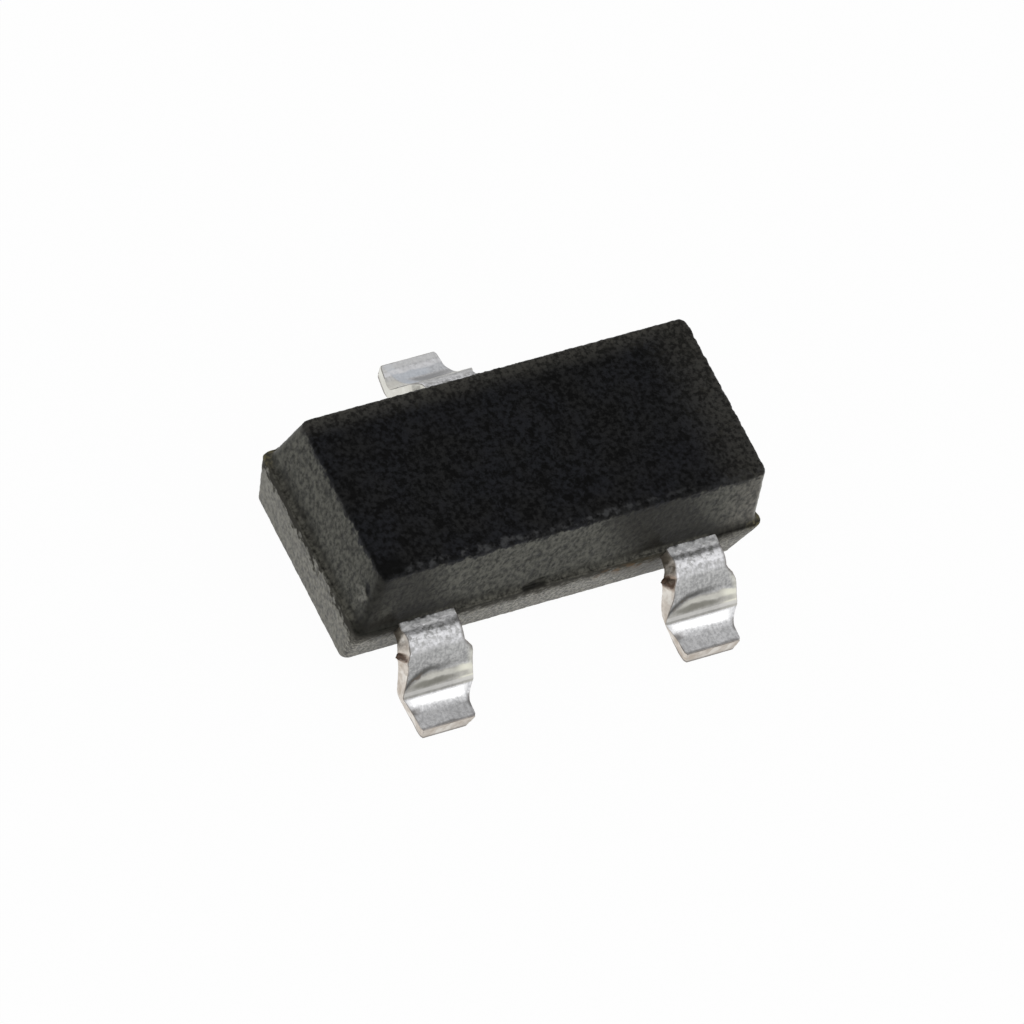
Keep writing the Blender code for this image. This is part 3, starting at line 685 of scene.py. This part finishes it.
def silver_epoxy():
    """Cured epoxy full of silver flakes."""
    nodes = Nodes("silver_epoxy_dressed")
    place = nodes.coordinates()
    flakes = nodes.cells(place, 130.0)
    tone = nodes.mix(nodes.ease(flakes, 0.2, 0.6), (0.55, 0.55, 0.54), (0.33, 0.33, 0.33))
    normal = nodes.bump(flakes, 2.0 * UM)
    return nodes.finish(tone, nodes.ease(flakes, 0.1, 0.7, 0.35, 0.6), normal, metallic=0.4)


def drawn_gold():
    """Drawn gold wire with faint die lines."""
    nodes = Nodes("gold_dressed")
    lines = nodes.noise(nodes.coordinates((0.4, 0.4, 1.0)), 160.0, 2.0)
    tone = nodes.mix(nodes.ease(lines, 0.4, 0.6), (0.80, 0.56, 0.20), (0.88, 0.66, 0.30))
    normal = nodes.bump(lines, 0.4 * UM)
    return nodes.finish(tone, nodes.ease(lines, 0.3, 0.7, 0.2, 0.32), normal, metallic=1.0)


def rounded_rectangle(length, width, radius, count_x, count_y, count_corner):
    """Return the points of a rounded rectangle with evenly spaced points on each side."""
    points = []
    half_x = length / 2 - radius
    half_y = width / 2 - radius
    far_x = half_x + radius
    far_y = half_y + radius
    sides = (((far_x, -half_y), (far_x, half_y), count_y, (half_x, half_y), 0),
             ((half_x, far_y), (-half_x, far_y), count_x, (-half_x, half_y), 1),
             ((-far_x, half_y), (-far_x, -half_y), count_y, (-half_x, -half_y), 2),
             ((-half_x, -far_y), (half_x, -far_y), count_x, (half_x, -half_y), 3))
    for start, end, count, centre, quarter in sides:
        for step in range(count):
            share = step / count
            points.append(Vector((start[0] + (end[0] - start[0]) * share,
                                  start[1] + (end[1] - start[1]) * share, 0.0)))
        for step in range(count_corner):
            angle = math.pi / 2 * (quarter + step / count_corner)
            points.append(Vector((centre[0] + radius * math.cos(angle),
                                  centre[1] + radius * math.sin(angle), 0.0)))
    return points


def body_profile():
    """Return the moulding's loops from bottom to top.

    Each holds length, width, height and the shares of ledge, wall foot and lower half.
    """
    profile = []
    bottom_length = BODY_LENGTH - 2 * LOWER_END_TAPER
    bottom_width = BODY_WIDTH - 2 * LOWER_SIDE_TAPER
    for step in range(CORNER_STEPS + 1):
        angle = 0.5 * math.pi * step / CORNER_STEPS
        inset = BOTTOM_EDGE_RADIUS * (1 - math.sin(angle))
        profile.append((bottom_length - 2 * inset, bottom_width - 2 * inset,
                        STANDOFF + BOTTOM_EDGE_RADIUS * (1 - math.cos(angle)), 0.0, 0.0, 1.0))
    wall_bottom = STANDOFF + BOTTOM_EDGE_RADIUS
    wall_top = PARTING_HEIGHT - LEDGE_EDGE_RADIUS
    wall_steps = round((wall_top - wall_bottom) / WALL_STEP)
    for step in range(1, wall_steps + 1):
        share = step / wall_steps
        profile.append((bottom_length + 2 * LOWER_END_TAPER * share,
                        bottom_width + 2 * LOWER_SIDE_TAPER * share,
                        wall_bottom + (wall_top - wall_bottom) * share,
                        smooth(share * 14 - 13), 0.0, 1.0))
    for share in (0.35, 0.7, 1.0):
        inset = LEDGE_EDGE_RADIUS * share ** 2
        profile.append((BODY_LENGTH - inset, BODY_WIDTH - inset,
                        wall_top + LEDGE_EDGE_RADIUS * share, 1.0, 1.0, 1.0 - share))
    foot_length = BODY_LENGTH - 2 * END_LEDGE
    foot_width = BODY_WIDTH - 2 * SIDE_LEDGE
    ledge_length = BODY_LENGTH - LEDGE_EDGE_RADIUS
    ledge_width = BODY_WIDTH - LEDGE_EDGE_RADIUS
    for share in (0.12, 0.25):
        profile.append((ledge_length + (foot_length - ledge_length) * share,
                        ledge_width + (foot_width - ledge_width) * share,
                        PARTING_HEIGHT, 1.0, 1.0, 0.0))
    top_length = foot_length - 2 * UPPER_END_TAPER
    top_width = foot_width - 2 * UPPER_SIDE_TAPER
    upper_top = BODY_TOP - TOP_EDGE_RADIUS
    upper_steps = round((upper_top - PARTING_HEIGHT) / WALL_STEP)
    for step in range(upper_steps):
        share = step / upper_steps
        fillet = WALL_FOOT_FILLET * max(0.0, 1 - step * WALL_STEP / WALL_FOOT_FILLET) ** 2
        rise = PARTING_HEIGHT + (upper_top - PARTING_HEIGHT) * share
        profile.append((foot_length + (top_length - foot_length) * share + fillet,
                        foot_width + (top_width - foot_width) * share + fillet,
                        rise, smooth(1 - step * WALL_STEP / LEDGE_MARK),
                        smooth(1 - share * 4.2), 0.0))
    for step in range(CORNER_STEPS + 1):
        angle = 0.5 * math.pi * step / CORNER_STEPS
        inset = TOP_EDGE_RADIUS * (1 - math.cos(angle))
        profile.append((top_length - 2 * inset, top_width - 2 * inset,
                        BODY_TOP - TOP_EDGE_RADIUS * (1 - math.sin(angle)), 0.0, 0.0, 0.0))
    return profile


def near_lead(point):
    """Return 1 beside a lead's neck at the parting plane, falling to 0 away from it."""
    distance = 1.0
    for centre_x, side in ((-LEAD_PITCH / 2, -1), (LEAD_PITCH / 2, -1), (0.0, 1)):
        if point.y * side > 0:
            distance = min(distance, max(0.0, abs(point.x - centre_x) - NECK_WIDTH / 2))
    return max(0.0, 1 - distance / SEAT_REACH)


def distance_to_line(point, start, end):
    """Return a point's distance from a straight line between two points."""
    start = Vector(start)
    run = Vector(end) - start
    share = min(1.0, max(0.0, (point - start).dot(run) / run.length_squared))
    return (point - start - run * share).length


def join_rows(builder, rows):
    """Join each row of points to the next one with a closed ring of faces."""
    count = len(rows[0])
    for row, next_row in zip(rows, rows[1:]):
        for index in range(count):
            following = (index + 1) % count
            builder.faces.new((row[index], row[following], next_row[following], next_row[index]))


def make_body(material):
    """Make the moulding's outer skin, with its rough flash line and worn edges."""
    count_x = round(BODY_LENGTH / WALL_STEP)
    count_y = round(BODY_WIDTH / WALL_STEP)
    builder = bmesh.new()
    layers = [builder.verts.layers.float.new(name) for name in ("ledge", "wall_foot", "lower")]
    rows = []
    for length, width, height, ledge, wall_foot, lower in body_profile():
        row = []
        for point in rounded_rectangle(length, width, CORNER_RADIUS, count_x, count_y,
                                       BODY_CORNER_POINTS):
            outward = point.normalized()
            place = Vector((point.x, point.y, height)) / MM
            flash = noise.fractal(place * 11, 1.0, 2.0, 3) + 0.8 * noise.noise(place * 5.1)
            wear = noise.fractal(place * 24, 0.7, 2.0, 3)
            wear *= 1 + 2.2 * smooth(1 - (BODY_TOP - height) / (0.04 * MM))
            seat = near_lead(point)
            burr = smooth(1 - min(distance_to_line(place, *line) for line in SCUFF)
                          / SCUFF_REACH)
            nick = smooth(1.4 - distance_to_line(place, *NOTCH) / NOTCH_REACH)
            push = (wear * BODY_WEAR + flash * ledge * (1 - seat) * FLASH_PUSH
                    + burr * BURR_HEIGHT - nick * NICK_DEPTH) * UM
            sink = ledge * seat * LEAD_SEAT
            lift = ledge * (1 - seat) * flash * FLASH_LIFT * UM
            spot = Vector((point.x, point.y, height)) + outward * push
            spot.z += lift - sink
            vert = builder.verts.new(spot)
            for layer, share in zip(layers, (ledge, wall_foot, lower)):
                vert[layer] = share
            row.append(vert)
        rows.append(row)
    join_rows(builder, rows)
    for row, closing_height in ((rows[0], STANDOFF), (rows[-1], BODY_TOP)):
        inner = [builder.verts.new(Vector((vert.co.x * INNER_LENGTH, vert.co.y * INNER_WIDTH,
                                           closing_height))) for vert in row]
        join_rows(builder, (row, inner))
        builder.faces.new(inner)
    bmesh.ops.recalc_face_normals(builder, faces=builder.faces)
    body = finish_mesh("moulding_skin", builder, material)
    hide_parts("moulded_body")
    return body


def finish_mesh(name, builder, material):
    """Turn a mesh in the making into a smooth object that rides on the part."""
    mesh = bpy.data.meshes.new(name)
    builder.to_mesh(mesh)
    builder.free()
    mesh.materials.append(material)
    mesh.shade_smooth()
    piece = bpy.data.objects.new(name, mesh)
    bpy.context.scene.collection.objects.link(piece)
    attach(piece, "root")
    return piece


# Middle line of a lead, as in the CAD source
LEAD_AXIS = PARTING_HEIGHT - LEAD_THICKNESS / 2
CREASE = BODY_WIDTH / 2 + SHOULDER_LENGTH
BEND_DROP = 1 - math.cos(BEND_ANGLE)
BEND_RADII = UPPER_BEND_RADIUS + LOWER_BEND_RADIUS + LEAD_THICKNESS
FLANK_LENGTH = (LEAD_AXIS - LEAD_THICKNESS / 2 - BEND_RADII * BEND_DROP) / math.sin(BEND_ANGLE)
FLANK_START = CREASE + BEND_ANGLE * (UPPER_BEND_RADIUS + LEAD_THICKNESS / 2)
FLANK_END = FLANK_START + FLANK_LENGTH
FOOT_START = FLANK_END + BEND_ANGLE * (LOWER_BEND_RADIUS + LEAD_THICKNESS / 2)
HEEL = CREASE + BEND_RADII * math.sin(BEND_ANGLE) + FLANK_LENGTH * math.cos(BEND_ANGLE)
STRIP_END = FOOT_START + LEAD_SPAN / 2 - HEEL


def strip_point(distance):
    """Return how far out, how high and how steep the strip's middle line is."""
    upper = UPPER_BEND_RADIUS + LEAD_THICKNESS / 2
    lower = LOWER_BEND_RADIUS + LEAD_THICKNESS / 2
    if distance <= CREASE:
        return distance, LEAD_AXIS, 0.0
    if distance <= FLANK_START:
        angle = (distance - CREASE) / upper
        return CREASE + upper * math.sin(angle), LEAD_AXIS - upper * (1 - math.cos(angle)), angle
    if distance <= FLANK_END:
        run = distance - FLANK_START
        out = CREASE + upper * math.sin(BEND_ANGLE) + run * math.cos(BEND_ANGLE)
        return out, LEAD_AXIS - upper * BEND_DROP - run * math.sin(BEND_ANGLE), BEND_ANGLE
    floor_height = LEAD_THICKNESS / 2
    if distance <= FOOT_START:
        angle = BEND_ANGLE - (distance - FLANK_END) / lower
        return HEEL - lower * math.sin(angle), floor_height + lower * (1 - math.cos(angle)), angle
    return HEEL + distance - FOOT_START, floor_height, 0.0


def smooth(share):
    """Ease a share between 0 and 1."""
    share = min(1.0, max(0.0, share))
    return share * share * (3 - 2 * share)


def half_width_at(outline, distance):
    """Return the strip's half width from its flat outline."""
    for (start, first), (end, second) in zip(outline, outline[1:]):
        if start <= distance <= end:
            return first + (second - first) * (distance - start) / (end - start)
    return outline[-1][1]


def quarter_round(start, half_width, radius, towards_end):
    """Return outline points that round the two corners of a strip's end."""
    points = []
    for step in range(CORNER_STEPS + 1):
        angle = 0.5 * math.pi * step / CORNER_STEPS
        along = radius * math.sin(angle)
        across = half_width - radius * (1 - math.cos(angle))
        points.append((start + along if towards_end else start - along, across))
    return points if towards_end else list(reversed(points))


def outer_outline():
    """Return the flat outline of a lead from the body's wall to its tip."""
    upper_bend = FLANK_START - CREASE
    points = [(CREASE, NECK_WIDTH / 2),
              (CREASE + DAMBAR_START * upper_bend, NECK_WIDTH / 2),
              (CREASE + DAMBAR_FULL * upper_bend, DAMBAR_WIDTH / 2),
              (FLANK_END, FLANK_WIDTH / 2),
              (FOOT_START, HEEL_WIDTH / 2)]
    tip_start = STRIP_END - TIP_CORNER
    return points + quarter_round(tip_start, FOOT_WIDTH / 2, TIP_CORNER, True)


def finger_outline():
    """Return the flat outline of lead 1 or 2 inside the body."""
    inner_end = BODY_WIDTH / 2 - FINGER_DEPTH
    neck_end = BODY_WIDTH / 2 - INNER_FLARE
    rounded = quarter_round(inner_end + INNER_CORNER, FINGER_WIDTH / 2, INNER_CORNER, False)
    return rounded + [(neck_end - INNER_FLARE, FINGER_WIDTH / 2), (neck_end, NECK_WIDTH / 2)]


def paddle_outline():
    """Return the flat outline of lead 3 inside the body, with the chip paddle."""
    shoulder = BODY_WIDTH / 2 - PADDLE_COVER
    inner_end = shoulder - PADDLE_LENGTH
    rounded = quarter_round(inner_end + INNER_CORNER, PADDLE_WIDTH / 2, INNER_CORNER, False)
    outer_corner = quarter_round(shoulder - INNER_CORNER, PADDLE_WIDTH / 2, INNER_CORNER, True)
    return rounded + outer_corner + [(shoulder + INNER_FLARE, NECK_WIDTH / 2)]


def strip_ring(half_width):
    """Return the strip's section as across and normal offsets, with a side mark for each."""
    half_height = LEAD_THICKNESS / 2
    flat_half = half_width - EDGE_ROUND
    ring = []
    for top in (1, -1):
        for step in range(STRIP_COLUMNS + 1):
            across = -top * flat_half + top * 2 * flat_half * step / STRIP_COLUMNS
            ring.append((across, top * half_height, 0.0))
        for step in range(1, ROUND_STEPS):
            angle = math.pi / 2 * step / ROUND_STEPS
            ring.append((top * (flat_half + EDGE_ROUND * math.sin(angle)),
                         top * (half_height - EDGE_ROUND * (1 - math.cos(angle))),
                         step / ROUND_STEPS))
        for step in range(SIDE_ROWS + 1):
            normal = (half_height - EDGE_ROUND) * (1 - 2 * step / SIDE_ROWS)
            ring.append((top * half_width, top * normal, 1.0))
        for step in range(1, ROUND_STEPS):
            angle = math.pi / 2 * (1 - step / ROUND_STEPS)
            ring.append((top * (flat_half + EDGE_ROUND * math.sin(angle)),
                         -top * (half_height - EDGE_ROUND * (1 - math.cos(angle))),
                         1 - step / ROUND_STEPS))
    return ring


def stray(table, distance):
    """Return how far the cut edges stray at a distance past the crease, in metres."""
    totals = [0.0, 0.0, 0.0]
    shifts = range(-STRAY_REACH, STRAY_REACH + 1, STRAY_STEP)
    for shift in shifts:
        place = min(table[-1][0], max(table[0][0], distance / UM + shift))
        for first, second in zip(table, table[1:]):
            if first[0] <= place <= second[0]:
                share = (place - first[0]) / (second[0] - first[0])
                totals = [total + a + (b - a) * share
                          for total, a, b in zip(totals, first[1:], second[1:])]
                break
    return [total / len(shifts) * UM for total in totals]


def make_lead(node, centre_x, side, inner, material):
    """Make one stamped and bent lead with rounded edges, coining marks and cut faces."""
    outline = inner + outer_outline()
    stations = {distance for distance, _ in outline}
    steps = round((STRIP_END - CREASE) / STRIP_STEP)
    for step in range(steps + 1):
        stations.add(CREASE + (STRIP_END - CREASE) * step / steps)
    for past_wall in (-INSIDE_WALL, 0.0, SHOULDER_LENGTH / 2):
        stations.add(BODY_WIDTH / 2 + past_wall)
    kept = []
    for distance in sorted(stations):
        apart = not kept or distance - kept[-1] > CLOSEST_STATIONS
        if apart and distance < STRIP_END - EDGE_ROUND:
            kept.append(distance)
    kept.append(STRIP_END - EDGE_ROUND)
    stain_low, stain_high = STUB_STAINS[node]
    builder = bmesh.new()
    names = ("side", "dambar", "along", "across")
    layers = [builder.verts.layers.float.new(layer_name) for layer_name in names]
    rows = []
    ends = [(distance, 0.0) for distance in kept]
    for step in range(1, ROUND_STEPS + 1):
        angle = math.pi / 2 * step / ROUND_STEPS
        ends.append((STRIP_END - EDGE_ROUND * (1 - math.sin(angle)), step / ROUND_STEPS))
    for distance, end_share in ends:
        out, height, angle = strip_point(distance)
        half_width = half_width_at(outline, min(distance, kept[-1]))
        left, right, lower_face = stray(CUT_EDGES[node], distance - CREASE)
        off_stain = abs(distance - CREASE - STAIN_CENTRE) / UM
        flank_share = (distance - FLANK_START - COIN_START) / COIN_LENGTH
        coined = math.sin(math.pi * min(1.0, max(0.0, flank_share))) ** 2
        crease = math.exp(-((distance - CREASE) / CREASE_WIDTH) ** 2)
        pulled_in = EDGE_ROUND * (1 - math.cos(math.pi / 2 * end_share))
        row = []
        for across, normal, cut in strip_ring(half_width):
            place = Vector((centre_x + across, side * distance, normal)) / MM
            wobble = noise.fractal(place * 30, 0.6, 2.0, 3)
            ragged = noise.fractal(place * 45, 0.8, 2.0, 3)
            middle = 1 - (across / half_width) ** 4
            if normal > 0:
                normal -= (coined * COINED_DEPTH + crease * CREASE_DEPTH) * middle * (1 - cut)
            upper_share = 0.5 + normal / LEAD_THICKNESS
            across_share = across / half_width
            stray_up = left if across < 0 else right
            stray_down = lower_face
            if across >= 0:
                stray_down = min(lower_face, right + LOWER_EDGE_MARGIN * UM)
            edge = stray_up * upper_share + stray_down * (1 - upper_share)
            across *= 1 + edge / half_width
            reach = stain_low + (stain_high - stain_low) * upper_share
            stub = smooth(1.3 - off_stain / reach) if reach else 0.0
            stub *= 1 - 0.45 * upper_share
            cut_wobble = CUT_WOBBLE + STUB_WOBBLE * stub
            across += math.copysign(cut, across) * ragged * cut_wobble * UM
            normal += math.copysign(1 - cut, normal) * wobble * LEAD_WOBBLE * UM
            normal -= math.copysign(pulled_in, normal)
            spot = Vector((centre_x + across,
                           side * (out + normal * math.sin(angle)),
                           height + normal * math.cos(angle)))
            spot.z = max(spot.z, cad_low.z)
            vert = builder.verts.new(spot)
            marks = (max(cut, end_share), cut * stub, (distance - CREASE) / MM, across_share)
            for layer, mark in zip(layers, marks):
                vert[layer] = mark
            row.append(vert)
        rows.append(row)
    join_rows(builder, rows)
    builder.faces.new(list(reversed(rows[0])))
    builder.faces.new(rows[-1])
    bmesh.ops.recalc_face_normals(builder, faces=builder.faces)
    lead = finish_mesh(node + "_skin", builder, material)
    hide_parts(node)
    return lead


def make_floor():
    """Make the white table, which shows white and keeps a soft shadow."""
    nodes = Nodes("white_table")
    path = nodes.tree.nodes.new("ShaderNodeLightPath")
    white = nodes.tree.nodes.new("ShaderNodeEmission")
    white.inputs["Color"].default_value = (1.0, 1.0, 1.0, 1.0)
    white.inputs["Strength"].default_value = 1.0
    shown = nodes.larger(path.outputs["Is Camera Ray"], path.outputs["Is Glossy Ray"])
    shown = nodes.larger(shown, path.outputs["Is Transmission Ray"])
    blend = nodes.tree.nodes.new("ShaderNodeMixShader")
    nodes.link(nodes.times(shown, TABLE_WHITE), blend.inputs["Fac"])
    nodes.link(nodes.shader.outputs["BSDF"], blend.inputs[1])
    nodes.link(white.outputs["Emission"], blend.inputs[2])
    nodes.link(blend.outputs["Shader"], nodes.output.inputs["Surface"])
    nodes.finish((0.90, 0.90, 0.90), 0.9, specular=0.2)
    builder = bmesh.new()
    bmesh.ops.create_grid(builder, x_segments=1, y_segments=1, size=TABLE_REACH)
    mesh = bpy.data.meshes.new("table")
    builder.to_mesh(mesh)
    builder.free()
    mesh.materials.append(nodes.material)
    table = bpy.data.objects.new("table", mesh)
    table.location.z = -TABLE_DROP
    bpy.context.scene.collection.objects.link(table)


def add_lamp(name, direction, distance, width, height, radiance):
    """Add a softbox that faces the part, given how bright it looks."""
    lamp = bpy.data.lights.new(name, "AREA")
    lamp.shape = "RECTANGLE"
    lamp.size = width
    lamp.size_y = height
    lamp.energy = radiance * math.pi * width * height
    holder = bpy.data.objects.new(name, lamp)
    towards = Vector(direction).normalized()
    holder.location = VIEW_CENTRE + towards * distance
    holder.rotation_mode = "QUATERNION"
    holder.rotation_quaternion = towards.to_track_quat("Z", "Y")
    bpy.context.scene.collection.objects.link(holder)


def make_lights():
    """Light the part as on a white table under one large softbox at the right."""
    add_lamp("key_softbox", (0.46, -0.33, 0.82), 90 * MM, 50 * MM, 40 * MM, 1.15)
    add_lamp("low_softbox", (0.46, -0.80, 0.37), 90 * MM, 100 * MM, 70 * MM, 0.60)
    add_lamp("left_softbox", (-0.9, -0.1, 0.42), 110 * MM, 60 * MM, 60 * MM, 1.0)
    world = bpy.data.worlds.new("studio")
    world.use_nodes = True
    background = world.node_tree.nodes["Background"]
    background.inputs["Color"].default_value = (1.0, 1.0, 1.0, 1.0)
    background.inputs["Strength"].default_value = 0.55
    bpy.context.scene.world = world


def make_camera():
    """Place the long-lens camera that the photograph's edges gave."""
    camera = bpy.data.cameras.new("camera")
    camera.sensor_width = SENSOR_MM
    focal_pixels = PIXELS_PER_MM * VIEW_DISTANCE / MM
    camera.lens = focal_pixels / PICTURE_PIXELS * SENSOR_MM
    camera.clip_start = 1 * MM
    camera.clip_end = 2.0
    holder = bpy.data.objects.new("camera", camera)
    turn = Matrix((VIEW_RIGHT, VIEW_UP, VIEW_BACK)).transposed()
    holder.matrix_world = Matrix.Translation(
        VIEW_CENTRE + VIEW_BACK * VIEW_DISTANCE + VIEW_RIGHT * VIEW_SIDESTEP
        - VIEW_UP * VIEW_DROP) @ turn.to_4x4()
    bpy.context.scene.collection.objects.link(holder)
    bpy.context.scene.camera = holder


def dress_hidden_pieces():
    """Give the pieces inside the moulding their materials."""
    dressed = {"silicon_die": polished_silicon(), "die_attach": silver_epoxy()}
    gold = drawn_gold()
    for name in ("bond_wire_1", "bond_wire_2", "bond_wire_3"):
        dressed[name] = gold
    for name, material in dressed.items():
        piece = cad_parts[name]
        for slot in piece.material_slots:
            slot.material = material


make_camera()
make_lights()
make_floor()
dress_hidden_pieces()
make_body(mould_compound())
plated = tin_plate()
half_pitch = LEAD_PITCH / 2
make_lead("lead_1", -half_pitch, -1, finger_outline(), plated)
make_lead("lead_2", half_pitch, -1, finger_outline(), plated)
make_lead("lead_3", 0.0, 1, paddle_outline(), plated)
bpy.context.scene.view_settings.view_transform = "Standard"
